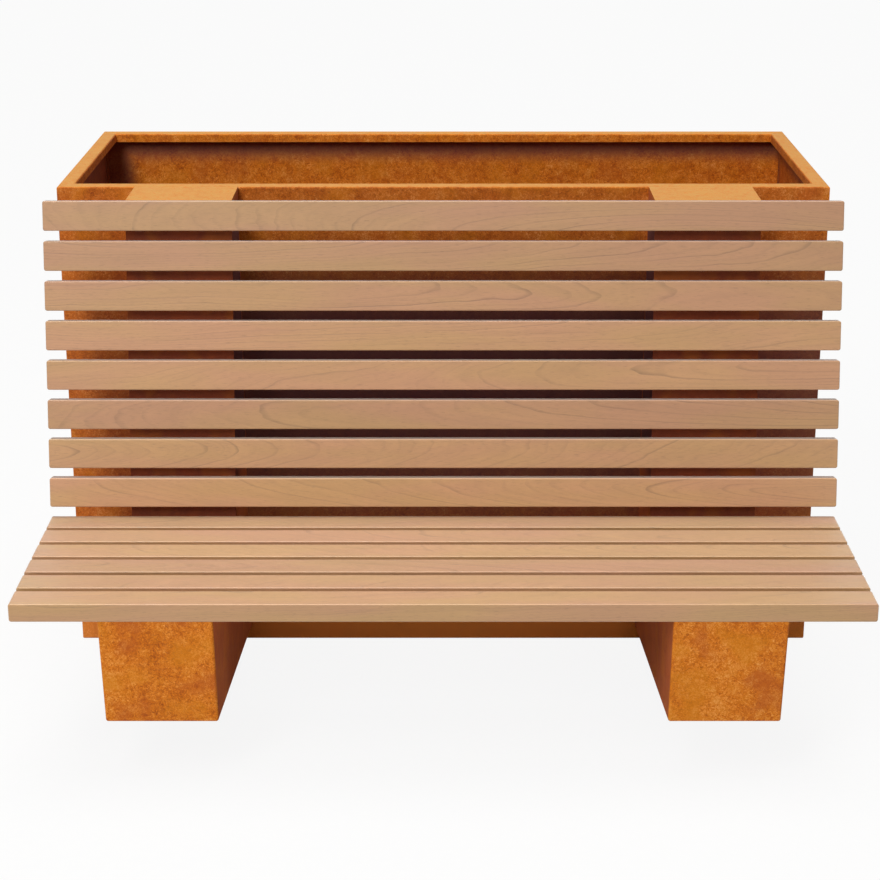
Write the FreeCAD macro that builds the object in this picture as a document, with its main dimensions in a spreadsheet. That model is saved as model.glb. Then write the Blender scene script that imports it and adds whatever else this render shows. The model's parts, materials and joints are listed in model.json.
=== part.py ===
import FreeCAD, Part
import os
import Sketcher

# Bench with planter: a weathering-steel planter box with a slatted wooden bench carried by two
# hollow brackets on its front wall. Millimetres; X along the bench, the sitter faces -Y, Z up,
# origin on the ground in the middle of the overall footprint.

os.makedirs("parts", exist_ok=True)
doc = FreeCAD.newDocument("BenchWithPlanter")

# Driving dimensions

SIZES = {
    # whole bench
    "bench_length": 1800,
    "bench_depth": 1493,
    # planter box
    "planter_depth": 700,
    "planter_height": 1149,
    "sheet": 4,
    "bend_outer": 5,
    "rim_width": 37,
    "rim_lip": 22,
    "foot_flange": 50,
    # floor of the planter
    "floor_level": 60,
    "rail_width": 60,
    "rail_sheet": 3,
    "rail_spacing": 400,
    "wall_gap": 1,
    # stiffening inside the planter
    "stiffener_depth": 40,
    "back_stiffener_width": 120,
    "front_stiffener_top": 1117,
    "back_stiffener_top": 960,
    "tie_size": 40,
    "tie_sheet": 3,
    "tie_level": 620,
    # holes in the planter
    "anchor_hole": 14,
    "anchor_inset": 27,
    "anchor_half_spacing": 740,
    "drain_hole": 36,
    "drain_half_spacing": 200,
    # seat
    "seat_height": 441,
    "seat_slat_width": 70,
    "seat_slat_thick": 40,
    "seat_gap": 16.6,
    # back rest
    "recline": 10,
    "back_slat_width": 67,
    "back_slat_thick": 30,
    "back_run": 698,
    "back_start": 61.8,
    # edges of all slats
    "slat_round": 2.5,
    "slat_corner": 5,
    # brackets
    "bracket_width": 240,
    "bracket_half_spacing": 598,
    "plate": 6,
    "wall_plate": 8,
    "column_foot_depth": 282,
    "arm_setback": 2,
    "arm_front_level": 152,
    "arm_front_lean": 9,
    "arm_underside_slope": 9,
    "plate_round": 5.5,
    "window_width": 130,
    "window_height": 230,
    "window_pitch": 300,
    "window_first": 185,
    # slat screws
    "screw_half_spacing": 70,
    "screw_shank": 8,
    "screw_clearance": 9,
    "screw_flange": 20,
    "screw_flange_thick": 2,
    "screw_head_flats": 13,
    "screw_head_thick": 5.5,
    "seat_screw_bite": 28,
    "back_screw_bite": 22,
    "access_hole": 26,
    # bolts between brackets and planter
    "bolt_half_spacing": 95,
    "bolt_first_level": 120,
    "bolt_pitch": 470,
    "bolt_shank": 12,
    "bolt_clearance": 13,
    "bolt_head_flats": 19,
    "bolt_head_thick": 7.5,
    "bolt_washer": 24,
    "bolt_washer_thick": 2.5,
    "bolt_nut_thick": 10,
    "bolt_spare_thread": 3,
    # drain bushes
    "bush_flange": 42,
    "bush_flange_thick": 3,
    "bush_wall": 2,
    "bush_length": 14,
}

SEAT_SLATS = 6
BACK_SLATS = 8
BASE_RAILS = 5
BOLT_ROWS = 3
WALL_WINDOWS = 3
SIDES = {"left": -1, "right": 1}

dims = doc.addObject("Spreadsheet::Sheet", "dims")
for row, (alias, value) in enumerate(SIZES.items(), start=1):
    dims.set("A%d" % row, alias)
    dims.set("B%d" % row, str(value))
    dims.setAlias("B%d" % row, alias)
doc.recompute()

# Places that several pieces share, as formulas of the sheet

HALF_LENGTH = "dims.bench_length / 2"
SEAT_FRONT = "(-dims.bench_depth / 2)"
WALL_FRONT = "(dims.bench_depth / 2 - dims.planter_depth)"
WALL_BACK = "(dims.bench_depth / 2)"
PLANTER_MIDDLE = "(dims.bench_depth / 2 - dims.planter_depth / 2)"
FLOOR_TOP = "(dims.floor_level + dims.sheet)"
SEAT_UNDERSIDE = "(dims.seat_height - dims.seat_slat_thick)"
SEAT_PITCH = "(dims.seat_slat_width + dims.seat_gap)"
LEAN = "tan(dims.recline * 1 deg)"
COLUMN_FOOT = "(%s - dims.column_foot_depth)" % WALL_FRONT
BACK_PITCH = "((dims.back_run - dims.back_slat_width) / %d)" % (BACK_SLATS - 1)
WALL_PLATE_FACE = "(%s - dims.wall_plate)" % WALL_FRONT
CAP_UNDERSIDE = "(dims.planter_height - dims.plate)"
BEARER_UNDERSIDE = "(%s - dims.plate)" % SEAT_UNDERSIDE
ARM_TOP_FRONT = "(%s + dims.arm_setback)" % SEAT_FRONT
ARM_LEAN = "tan(dims.arm_front_lean * 1 deg)"
ARM_SLOPE = "tan(dims.arm_underside_slope * 1 deg)"
PLATE_ALONG_Y = "(dims.plate / cos(dims.arm_front_lean * 1 deg))"
PLATE_ALONG_Z = "(dims.plate / cos(dims.arm_underside_slope * 1 deg))"
SKIN_ALONG_Y = "(dims.plate / cos(dims.recline * 1 deg))"


def number(formula):
    """Value of a sheet formula."""
    return float(dims.evalExpression(str(formula)))


def column_face(level):
    """Y of the column's front face, where the back slats lie, at a height."""
    return "(%s + (%s - %s) * %s)" % (COLUMN_FOOT, level, SEAT_UNDERSIDE, LEAN)


def arm_front(level):
    """Y of the arm's front face at a height."""
    return "(%s + (%s - %s) * %s)" % (ARM_TOP_FRONT, SEAT_UNDERSIDE, level, ARM_LEAN)


ARM_TOE = arm_front("dims.arm_front_level")


def underside(y):
    """Height of the arm's sloping underside at a depth."""
    return "(dims.arm_front_level - (%s - %s) * %s)" % (y, ARM_TOE, ARM_SLOPE)


def arm_corner(height):
    """Y where the inner face of the arm's front plate meets a line this high above the underside."""
    inset = "(%s - %s * %s)" % (PLATE_ALONG_Y, ARM_LEAN, height)
    return "(%s + %s / (1 - %s * %s))" % (ARM_TOE, inset, ARM_LEAN, ARM_SLOPE)


def up_the_back(place):
    """Y and Z of a point of the back plane, by its distance up the slope from the seat's underside."""
    y = "(%s + (%s) * sin(dims.recline * 1 deg))" % (COLUMN_FOOT, place)
    z = "(%s + (%s) * cos(dims.recline * 1 deg))" % (SEAT_UNDERSIDE, place)
    return y, z


def bracket_x(side):
    """X of a bracket's middle."""
    return "(%d * dims.bracket_half_spacing)" % SIDES[side]


def seat_slat_y(index):
    """Y of the middle of a seat slat, counted from the front."""
    return "(%s + dims.seat_slat_width / 2 + %d * %s)" % (SEAT_FRONT, index, SEAT_PITCH)


def back_slat_place(index):
    """Distance up the slope of the middle of a back slat, counted from the bottom."""
    return "(dims.back_start + dims.back_slat_width / 2 + %d * %s)" % (index, BACK_PITCH)


def bolt_level(row):
    """Height of a row of bracket bolts."""
    return "(dims.bolt_first_level + %d * dims.bolt_pitch)" % row


# Short forms of the modelling steps

pieces = []


def new_body(label):
    """Empty body that becomes one piece."""
    body = doc.addObject("PartDesign::Body", label)
    body.Label = label
    pieces.append(body)
    return body


def base_plane(body, role):
    """One of the body's own base planes."""
    return next(plane for plane in body.Origin.OriginFeatures if plane.Role == role)


def new_sketch(body, role, name):
    """Empty sketch on one of the body's own base planes."""
    sketch = body.newObject("Sketcher::SketchObject", "%s_%s" % (body.Name, name))
    sketch.AttachmentSupport = [(base_plane(body, role), "")]
    sketch.MapMode = "FlatFace"
    return sketch


def pin(sketch, geometry, corner, point):
    """Tie a point of the sketch to a pair of sheet formulas."""
    for kind, formula in zip(("DistanceX", "DistanceY"), point):
        place = Sketcher.Constraint(kind, -1, 1, geometry, corner, number(formula))
        index = sketch.addConstraint(place)
        sketch.setExpression("Constraints[%d]" % index, str(formula))


def outline(sketch, corners):
    """Closed outline of straight edges through corners given as pairs of formulas."""
    points = [FreeCAD.Vector(number(x), number(y), 0) for x, y in corners]
    first = sketch.GeometryCount
    count = len(corners)
    for index in range(count):
        sketch.addGeometry(Part.LineSegment(points[index], points[(index + 1) % count]))
    for index in range(count):
        following = first + (index + 1) % count
        sketch.addConstraint(Sketcher.Constraint("Coincident", first + index, 2, following, 1))
    for index, corner in enumerate(corners):
        pin(sketch, first + index, 1, corner)


def rectangle(sketch, x_low, x_high, y_low, y_high):
    """Closed rectangle between two pairs of formulas."""
    outline(sketch, [(x_low, y_low), (x_high, y_low), (x_high, y_high), (x_low, y_high)])


def circle(sketch, centre, diameter):
    """Circle about a centre given as a pair of formulas."""
    middle = FreeCAD.Vector(number(centre[0]), number(centre[1]), 0)
    normal = FreeCAD.Vector(0, 0, 1)
    geometry = sketch.addGeometry(Part.Circle(middle, normal, number(diameter) / 2))
    pin(sketch, geometry, 3, centre)
    size = sketch.addConstraint(Sketcher.Constraint("Diameter", geometry, number(diameter)))
    sketch.setExpression("Constraints[%d]" % size, str(diameter))


def pad(body, sketch, length, both_ways=False, backwards=False):
    """Solid made by pushing the sketch along its normal."""
    feature = body.newObject("PartDesign::Pad", "%s_pad" % body.Name)
    feature.Profile = sketch
    feature.Midplane = both_ways
    feature.Reversed = backwards
    feature.setExpression("Length", str(length))
    doc.recompute()


def pocket(body, sketch, depth=None, backwards=False):
    """Hole of the sketch's shape: right through both ways, or to a depth; it has to remove material."""
    before = body.Shape.Volume
    feature = body.newObject("PartDesign::Pocket", "%s_pocket" % sketch.Name)
    feature.Profile = sketch
    if depth is None:
        feature.Type = "ThroughAll"
        feature.Midplane = True
    else:
        feature.setExpression("Length", str(depth))
        feature.Reversed = backwards
    doc.recompute()
    if not body.Shape.Volume < before:
        raise RuntimeError("nothing removed by " + feature.Name)


def round_edges(body, radius, wanted):
    """Rounding of the edges whose middle point passes a test."""
    base = body.Tip
    names = []
    for index, edge in enumerate(base.Shape.Edges, start=1):
        middle = edge.valueAt((edge.FirstParameter + edge.LastParameter) / 2)
        if wanted(edge, middle):
            names.append("Edge%d" % index)
    feature = body.newObject("PartDesign::Fillet", "%s_round" % body.Name)
    feature.Base = (base, names)
    feature.setExpression("Radius", str(radius))
    doc.recompute()


def place(body, x=0, y=0, z=0, tilt=None):
    """Placement of a piece, with a turn about X where it is tilted."""
    if tilt is not None:
        turn = FreeCAD.Rotation(FreeCAD.Vector(1, 0, 0), number(tilt))
        body.Placement = FreeCAD.Placement(FreeCAD.Vector(), turn)
        body.setExpression("Placement.Rotation.Angle", str(tilt))
    for axis, formula in zip("xyz", (x, y, z)):
        body.setExpression("Placement.Base." + axis, str(formula))
    doc.recompute()


def along_x(edge):
    """Whether an edge runs along X."""
    ends = [vertex.Point for vertex in edge.Vertexes]
    return len(ends) == 2 and abs(ends[1].x - ends[0].x) > 0.9 * edge.Length


# Planter box

def folded_panel(label, run, turn, reach):
    """Wall of the box, folded inwards at the foot and at the rim, with a lip hanging from the rim.

    The panel is drawn with its outer face on the plane Y = 0 and its inside towards +Y. Its ends
    are mitred, so the four panels meet like a picture frame.
    """
    body = new_body(label)
    section = new_sketch(body, "YZ_Plane", "section")
    inner_edge = "dims.rim_width - dims.sheet"
    outline(section, [
        (0, 0),
        ("dims.foot_flange", 0),
        ("dims.foot_flange", "dims.sheet"),
        ("dims.sheet", "dims.sheet"),
        ("dims.sheet", "dims.planter_height - dims.sheet"),
        (inner_edge, "dims.planter_height - dims.sheet"),
        (inner_edge, "dims.planter_height - dims.rim_lip"),
        ("dims.rim_width", "dims.planter_height - dims.rim_lip"),
        ("dims.rim_width", "dims.planter_height"),
        (0, "dims.planter_height"),
    ])
    pad(body, section, run, both_ways=True)

    height = number("dims.planter_height")
    rim = number("dims.rim_width")
    sheet = number("dims.sheet")
    outer_bends = [(0, 0), (0, height), (rim, height)]
    inner_bends = [(sheet, sheet), (sheet, height - sheet), (rim - sheet, height - sheet)]

    def at_any(bends):
        def wanted(edge, middle):
            near = [abs(middle.y - y) + abs(middle.z - z) < 0.01 for y, z in bends]
            return along_x(edge) and any(near)
        return wanted

    round_edges(body, "dims.bend_outer", at_any(outer_bends))
    round_edges(body, "dims.bend_outer - dims.sheet", at_any(inner_bends))

    mitre = new_sketch(body, "XY_Plane", "mitre")
    half = "(%s / 2)" % run
    for sign in (-1, 1):
        outer = "%d * %s" % (sign, half)
        outline(mitre, [
            (outer, 0),
            ("%s + %d * dims.rim_width" % (outer, sign), 0),
            ("%s + %d * dims.rim_width" % (outer, sign), "2 * dims.rim_width"),
            ("%s - %d * 2 * dims.rim_width" % (outer, sign), "2 * dims.rim_width"),
        ])
    pocket(body, mitre)
    body.Placement.Rotation = FreeCAD.Rotation(FreeCAD.Vector(0, 0, 1), turn)
    x, y = reach
    body.setExpression("Placement.Base.x", str(x))
    body.setExpression("Placement.Base.y", str(y))
    doc.recompute()
    return body


def anchor_holes(body):
    """Two holes in the foot flange of a long panel, for anchoring the bench to the ground."""
    sketch = new_sketch(body, "XY_Plane", "anchors")
    for sign in (-1, 1):
        centre = ("%d * dims.anchor_half_spacing" % sign, "dims.anchor_inset")
        circle(sketch, centre, "dims.anchor_hole")
    pocket(body, sketch, "dims.sheet * 2", backwards=True)


def wall_bolt_holes(body, middles):
    """Rows of bolt holes through an upright wall, two columns about each of the middles."""
    sketch = new_sketch(body, "XZ_Plane", "bolts")
    for middle in middles:
        for sign in (-1, 1):
            for row in range(BOLT_ROWS):
                x = "%s + %d * dims.bolt_half_spacing" % (middle, sign)
                circle(sketch, (x, bolt_level(row)), "dims.bolt_clearance")
    pocket(body, sketch)


def planter_panels():
    """Front, back and end walls of the planter."""
    front = folded_panel("planter_front_panel", "dims.bench_length", 0, (0, WALL_FRONT))
    wall_bolt_holes(front, [bracket_x(side) for side in SIDES])
    anchor_holes(front)
    back = folded_panel("planter_back_panel", "dims.bench_length", 180, (0, WALL_BACK))
    anchor_holes(back)
    left = "-" + HALF_LENGTH
    folded_panel("planter_left_panel", "dims.planter_depth", -90, (left, PLANTER_MIDDLE))
    folded_panel("planter_right_panel", "dims.planter_depth", 90, (HALF_LENGTH, PLANTER_MIDDLE))


def drain_places():
    """Middles of the drain holes: one over each anchor hole, and a pair in the middle."""
    near = "(-dims.planter_depth / 2 + dims.anchor_inset)"
    far = "(dims.planter_depth / 2 - dims.anchor_inset)"
    places = []
    for sign in (-1, 1):
        corner = "%d * dims.anchor_half_spacing" % sign
        places.append((corner, near))
        places.append((corner, far))
        places.append(("%d * dims.drain_half_spacing" % sign, 0))
    return places


def planter_floor():
    """Loose floor plate with drain holes, lying on the base rails."""
    body = new_body("planter_floor")
    sketch = new_sketch(body, "XY_Plane", "plan")
    half_x = "(dims.bench_length / 2 - dims.sheet - dims.wall_gap)"
    half_y = "(dims.planter_depth / 2 - dims.sheet - dims.wall_gap)"
    rectangle(sketch, "-" + half_x, half_x, "-" + half_y, half_y)
    pad(body, sketch, "dims.sheet")
    holes = new_sketch(body, "XY_Plane", "drains")
    for centre in drain_places():
        circle(holes, centre, "dims.drain_hole")
    pocket(body, holes)
    place(body, 0, PLANTER_MIDDLE, "dims.floor_level")


def base_rail(index):
    """Channel open downwards that carries the floor from the front wall to the back wall."""
    body = new_body("base_rail_%d" % (index + 1))
    sketch = new_sketch(body, "XZ_Plane", "section")
    half = "dims.rail_width / 2"
    web = "(dims.floor_level - dims.rail_sheet)"
    outline(sketch, [
        ("-" + half, "dims.sheet"),
        ("-%s + dims.rail_sheet" % half, "dims.sheet"),
        ("-%s + dims.rail_sheet" % half, web),
        ("%s - dims.rail_sheet" % half, web),
        ("%s - dims.rail_sheet" % half, "dims.sheet"),
        (half, "dims.sheet"),
        (half, "dims.floor_level"),
        ("-" + half, "dims.floor_level"),
    ])
    pad(body, sketch, "dims.planter_depth - 2 * dims.bend_outer", both_ways=True)
    step = index - (BASE_RAILS - 1) / 2
    place(body, "%g * dims.rail_spacing" % step, PLANTER_MIDDLE, 0)


def wall_channel(label, width, top, x, y, turn):
    """Upright channel against the inside of a wall; its web lies on the wall."""
    body = new_body(label)
    sketch = new_sketch(body, "XY_Plane", "section")
    half = "(%s / 2)" % width
    depth = "dims.stiffener_depth"
    outline(sketch, [
        ("-" + half, 0),
        (half, 0),
        (half, depth),
        ("%s - dims.sheet" % half, depth),
        ("%s - dims.sheet" % half, "dims.sheet"),
        ("-%s + dims.sheet" % half, "dims.sheet"),
        ("-%s + dims.sheet" % half, depth),
        ("-" + half, depth),
    ])
    pad(body, sketch, "%s - %s" % (top, FLOOR_TOP))
    body.Placement.Rotation = FreeCAD.Rotation(FreeCAD.Vector(0, 0, 1), turn)
    place(body, x, y, FLOOR_TOP)
    return body


def channel_bolt_holes(body):
    """Bolt holes through the web of a front channel."""
    sketch = new_sketch(body, "XZ_Plane", "bolts")
    for sign in (-1, 1):
        for row in range(BOLT_ROWS):
            level = "%s - %s" % (bolt_level(row), FLOOR_TOP)
            circle(sketch, ("%d * dims.bolt_half_spacing" % sign, level), "dims.bolt_clearance")
    pocket(body, sketch)


def wall_channels(side):
    """Channel behind a bracket, its partner on the back wall, and the tie between the two."""
    x = bracket_x(side)
    front = wall_channel("front_channel_" + side, "dims.bracket_width",
                         "dims.front_stiffener_top", x, "%s + dims.sheet" % WALL_FRONT, 0)
    channel_bolt_holes(front)
    wall_channel("back_channel_" + side, "dims.back_stiffener_width",
                 "dims.back_stiffener_top", x, "%s - dims.sheet" % WALL_BACK, 180)
    tie = new_body("tie_tube_" + side)
    sketch = new_sketch(tie, "XZ_Plane", "section")
    half = "dims.tie_size / 2"
    inner = "(dims.tie_size / 2 - dims.tie_sheet)"
    rectangle(sketch, "-" + half, half, "-" + half, half)
    rectangle(sketch, "-" + inner, inner, "-" + inner, inner)
    pad(tie, sketch, "dims.planter_depth - 4 * dims.sheet", both_ways=True)
    place(tie, x, PLANTER_MIDDLE, "dims.tie_level")


# Brackets

def side_plate(side, name, sign):
    """Upright plate with the bracket's whole outline: arm, elbow and column."""
    body = new_body("%s_bracket_%s_side" % (side, name))
    sketch = new_sketch(body, "YZ_Plane", "outline")
    corner = arm_corner(PLATE_ALONG_Z)
    outline(sketch, [
        ("%s + %s" % (arm_front(BEARER_UNDERSIDE), PLATE_ALONG_Y), BEARER_UNDERSIDE),
        ("%s + %s" % (column_face(BEARER_UNDERSIDE), SKIN_ALONG_Y), BEARER_UNDERSIDE),
        ("%s + %s" % (column_face(CAP_UNDERSIDE), SKIN_ALONG_Y), CAP_UNDERSIDE),
        (WALL_PLATE_FACE, CAP_UNDERSIDE),
        (WALL_PLATE_FACE, "%s + %s" % (underside(WALL_PLATE_FACE), PLATE_ALONG_Z)),
        (corner, "%s + %s" % (underside(corner), PLATE_ALONG_Z)),
    ])
    pad(body, sketch, "dims.plate", both_ways=True)
    offset = "%d * (dims.bracket_width - dims.plate) / 2" % sign
    place(body, "%s + %s" % (bracket_x(side), offset), 0, 0)


def wall_plate(side):
    """Back plate of a bracket, with windows for reaching the slat screws and bolt holes."""
    body = new_body("%s_bracket_wall_plate" % side)
    sketch = new_sketch(body, "XZ_Plane", "outline")
    half = "dims.bracket_width / 2"
    rectangle(sketch, "-" + half, half, underside(WALL_PLATE_FACE), CAP_UNDERSIDE)
    pad(body, sketch, "dims.wall_plate", backwards=True)
    windows = new_sketch(body, "XZ_Plane", "windows")
    for index in range(WALL_WINDOWS):
        low = "(dims.window_first + %d * dims.window_pitch)" % index
        high = "(%s + dims.window_height)" % low
        rectangle(windows, "-dims.window_width / 2", "dims.window_width / 2", low, high)
    pocket(body, windows)
    wall_bolt_holes(body, ["0"])
    place(body, bracket_x(side), WALL_PLATE_FACE, 0)


def column_skin(side):
    """Front plate of the column, drawn in the plane of the back slats that are screwed to it."""
    body = new_body("%s_column_front_plate" % side)
    sketch = new_sketch(body, "YZ_Plane", "section")
    rise = "(%s - %s)" % (CAP_UNDERSIDE, SEAT_UNDERSIDE)
    cosine = "cos(dims.recline * 1 deg)"
    slant = "(dims.plate * %s)" % LEAN
    outline(sketch, [
        (0, 0),
        ("%s / %s" % (rise, cosine), 0),
        ("%s / %s + %s" % (rise, cosine, slant), "-dims.plate"),
        (slant, "-dims.plate"),
    ])
    pad(body, sketch, "dims.bracket_width", both_ways=True)
    holes = new_sketch(body, "XY_Plane", "screws")
    for index in range(BACK_SLATS):
        for sign in (-1, 1):
            centre = ("%d * dims.screw_half_spacing" % sign, back_slat_place(index))
            circle(holes, centre, "dims.screw_clearance")
    pocket(body, holes)
    place(body, bracket_x(side), COLUMN_FOOT, SEAT_UNDERSIDE, tilt="90 - dims.recline")


def column_cap(side):
    """Top plate of the column, level with the planter's rim."""
    body = new_body("%s_column_cap" % side)
    sketch = new_sketch(body, "YZ_Plane", "section")
    outline(sketch, [
        (column_face(CAP_UNDERSIDE), CAP_UNDERSIDE),
        (WALL_FRONT, CAP_UNDERSIDE),
        (WALL_FRONT, "dims.planter_height"),
        (column_face("dims.planter_height"), "dims.planter_height"),
    ])
    pad(body, sketch, "dims.bracket_width", both_ways=True)
    place(body, bracket_x(side), 0, 0)


def seat_bearer(side):
    """Top plate of the arm, which the seat slats are screwed to."""
    body = new_body("%s_seat_bearer" % side)
    sketch = new_sketch(body, "YZ_Plane", "section")
    outline(sketch, [
        ("%s + %s" % (arm_front(BEARER_UNDERSIDE), PLATE_ALONG_Y), BEARER_UNDERSIDE),
        ("%s + %s" % (column_face(BEARER_UNDERSIDE), SKIN_ALONG_Y), BEARER_UNDERSIDE),
        ("%s + %s" % (column_face(SEAT_UNDERSIDE), SKIN_ALONG_Y), SEAT_UNDERSIDE),
        ("%s + %s" % (arm_front(SEAT_UNDERSIDE), PLATE_ALONG_Y), SEAT_UNDERSIDE),
    ])
    pad(body, sketch, "dims.bracket_width", both_ways=True)
    seat_screw_holes(body, "dims.screw_clearance")
    place(body, bracket_x(side), 0, 0)


def seat_screw_holes(body, diameter):
    """Upright holes under the seat screws of one bracket."""
    holes = new_sketch(body, "XY_Plane", "screws")
    for index in range(SEAT_SLATS):
        for sign in (-1, 1):
            centre = ("%d * dims.screw_half_spacing" % sign, seat_slat_y(index))
            circle(holes, centre, diameter)
    pocket(body, holes)


def arm_front_plate(side):
    """Face of the arm that shows under the seat; its foot is set back, its outer edges are rounded."""
    body = new_body("%s_arm_front_plate" % side)
    sketch = new_sketch(body, "YZ_Plane", "section")
    inner_foot = arm_corner(0)
    outline(sketch, [
        (ARM_TOE, "dims.arm_front_level"),
        (ARM_TOP_FRONT, SEAT_UNDERSIDE),
        ("%s + %s" % (ARM_TOP_FRONT, PLATE_ALONG_Y), SEAT_UNDERSIDE),
        (inner_foot, underside(inner_foot)),
    ])
    pad(body, sketch, "dims.bracket_width", both_ways=True)
    toe = number(ARM_TOE)
    upright_middle = (toe + number(ARM_TOP_FRONT)) / 2
    corner_middle = (toe + number(inner_foot)) / 2

    def outer_edge(edge, middle):
        bottom = along_x(edge) and abs(middle.y - toe) < 0.01
        upright = not along_x(edge) and abs(middle.y - upright_middle) < 0.01
        corner = not along_x(edge) and abs(middle.y - corner_middle) < 0.01
        return bottom or upright or corner

    round_edges(body, "dims.plate_round", outer_edge)
    place(body, bracket_x(side), 0, 0)


def arm_underside_plate(side):
    """Sloping bottom plate of the arm, with a hole under each seat screw for the spanner.

    Its long lower edges are rounded like those of the front plate, which they run into.
    """
    body = new_body("%s_arm_underside_plate" % side)
    sketch = new_sketch(body, "YZ_Plane", "section")
    outer_foot = arm_corner(0)
    inner_foot = arm_corner(PLATE_ALONG_Z)
    outline(sketch, [
        (outer_foot, underside(outer_foot)),
        (WALL_PLATE_FACE, underside(WALL_PLATE_FACE)),
        (WALL_PLATE_FACE, "%s + %s" % (underside(WALL_PLATE_FACE), PLATE_ALONG_Z)),
        (inner_foot, "%s + %s" % (underside(inner_foot), PLATE_ALONG_Z)),
    ])
    pad(body, sketch, "dims.bracket_width", both_ways=True)
    edge_middle = (number(outer_foot) + number(WALL_PLATE_FACE)) / 2
    edge_level = number(underside(edge_middle))

    def lower_side_edge(edge, middle):
        on_line = abs(middle.y - edge_middle) + abs(middle.z - edge_level) < 0.01
        return on_line and not along_x(edge)

    round_edges(body, "dims.plate_round", lower_side_edge)
    seat_screw_holes(body, "dims.access_hole")
    place(body, bracket_x(side), 0, 0)


def bracket(side):
    """One hollow bracket, welded from eight plates."""
    side_plate(side, "outer", SIDES[side])
    side_plate(side, "inner", -SIDES[side])
    wall_plate(side)
    column_skin(side)
    column_cap(side)
    seat_bearer(side)
    arm_front_plate(side)
    arm_underside_plate(side)


# Wooden slats

def slat(label, width, thick, bite, depth_axis):
    """Wooden slat lying flat on Z = 0, with blind screw holes below.

    The four end edges along the depth axis are the corners that the sitter's side shows; they get
    the larger rounding. All edges of the two faces square to that axis get the smaller one.
    """
    body = new_body(label)
    sketch = new_sketch(body, "XY_Plane", "plan")
    half = "(%s / 2)" % width
    rectangle(sketch, "-" + HALF_LENGTH, HALF_LENGTH, "-" + half, half)
    pad(body, sketch, thick)
    reach = number(width) / 2
    faces = {"y": (-reach, reach), "z": (0, number(thick))}[depth_axis]

    def on_a_face(edge, middle):
        return min(abs(getattr(middle, depth_axis) - face) for face in faces) < 0.01

    def between_faces(edge, middle):
        return not on_a_face(edge, middle)

    round_edges(body, "dims.slat_corner", between_faces)
    round_edges(body, "dims.slat_round", on_a_face)
    holes = new_sketch(body, "XY_Plane", "screws")
    for side in SIDES:
        for sign in (-1, 1):
            x = "%s + %d * dims.screw_half_spacing" % (bracket_x(side), sign)
            circle(holes, (x, 0), "dims.screw_shank")
    pocket(body, holes, bite, backwards=True)
    return body


def seat_slats():
    """Seat slats, numbered from the front."""
    for index in range(SEAT_SLATS):
        body = slat("seat_slat_%d" % (index + 1), "dims.seat_slat_width",
                    "dims.seat_slat_thick", "dims.seat_screw_bite", "y")
        place(body, 0, seat_slat_y(index), SEAT_UNDERSIDE)


def back_slats():
    """Back slats, numbered from the bottom."""
    for index in range(BACK_SLATS):
        body = slat("back_slat_%d" % (index + 1), "dims.back_slat_width",
                    "dims.back_slat_thick", "dims.back_screw_bite", "z")
        y, z = up_the_back(back_slat_place(index))
        place(body, 0, y, z, tilt="90 - dims.recline")


# Fasteners and bushes: one shape each, repeated as a group of separate solids

def hexagon(sketch, flats):
    """Hexagon about the origin, by its size across flats."""
    corners = []
    for index in range(6):
        turn = "%d * 1 deg" % (60 * index)
        radius = "(%s / 2 / cos(30 * 1 deg))" % flats
        corners.append(("%s * cos(%s)" % (radius, turn), "%s * sin(%s)" % (radius, turn)))
    outline(sketch, corners)


def fastener(name, flats, head, washer=None, washer_thick=None, shank=None, length=None):
    """Fastener along Z: hexagon head below Z = 0, its washer face at Z = 0 and its shank above."""
    body = doc.addObject("PartDesign::Body", name)
    flange = washer_thick if washer_thick else 0
    if washer:
        disc = new_sketch(body, "XY_Plane", "flange")
        circle(disc, (0, 0), washer)
        pad(body, disc, washer_thick, backwards=True)
    head_sketch = new_sketch(body, "XY_Plane", "head")
    hexagon(head_sketch, flats)
    pad(body, head_sketch, "%s + %s" % (head, flange), backwards=True)
    if shank:
        shank_sketch = new_sketch(body, "XY_Plane", "shank")
        circle(shank_sketch, (0, 0), shank)
        pad(body, shank_sketch, length)
    return body


def group(label, pattern, placements):
    """Piece made of separate copies of one shape."""
    piece = doc.addObject("Part::Feature", label)
    piece.Label = label
    copies = []
    for placement in placements:
        copy = pattern.Shape.copy()
        copy.Placement = placement.multiply(copy.Placement)
        copies.append(copy)
    piece.Shape = Part.makeCompound(copies)
    pieces.append(piece)


def screw_columns():
    """X of every column of slat screws."""
    columns = []
    for side in SIDES:
        for sign in (-1, 1):
            columns.append(number("%s + %d * dims.screw_half_spacing" % (bracket_x(side), sign)))
    return columns


def slat_screws():
    """Flanged screws: from under the arms into the seat, from inside the columns into the back."""
    short_length = "dims.plate + dims.back_screw_bite"
    long_length = "dims.plate + dims.seat_screw_bite"
    screws = {}
    for name, length in (("seat_screw", long_length), ("back_screw", short_length)):
        screws[name] = fastener(name, "dims.screw_head_flats", "dims.screw_head_thick",
                                "dims.screw_flange", "dims.screw_flange_thick",
                                "dims.screw_shank", length)
    upright = FreeCAD.Rotation()
    places = []
    for index in range(SEAT_SLATS):
        y = number(seat_slat_y(index))
        z = number(BEARER_UNDERSIDE)
        places += [FreeCAD.Placement(FreeCAD.Vector(x, y, z), upright) for x in screw_columns()]
    group("seat_slat_screws", screws["seat_screw"], places)

    tilted = FreeCAD.Rotation(FreeCAD.Vector(1, 0, 0), number("90 - dims.recline"))
    inwards = tilted.multVec(FreeCAD.Vector(0, 0, -number("dims.plate")))
    places = []
    for index in range(BACK_SLATS):
        y, z = up_the_back(back_slat_place(index))
        for x in screw_columns():
            point = FreeCAD.Vector(x, number(y), number(z)) + inwards
            places.append(FreeCAD.Placement(point, tilted))
    group("back_slat_screws", screws["back_screw"], places)


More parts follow.
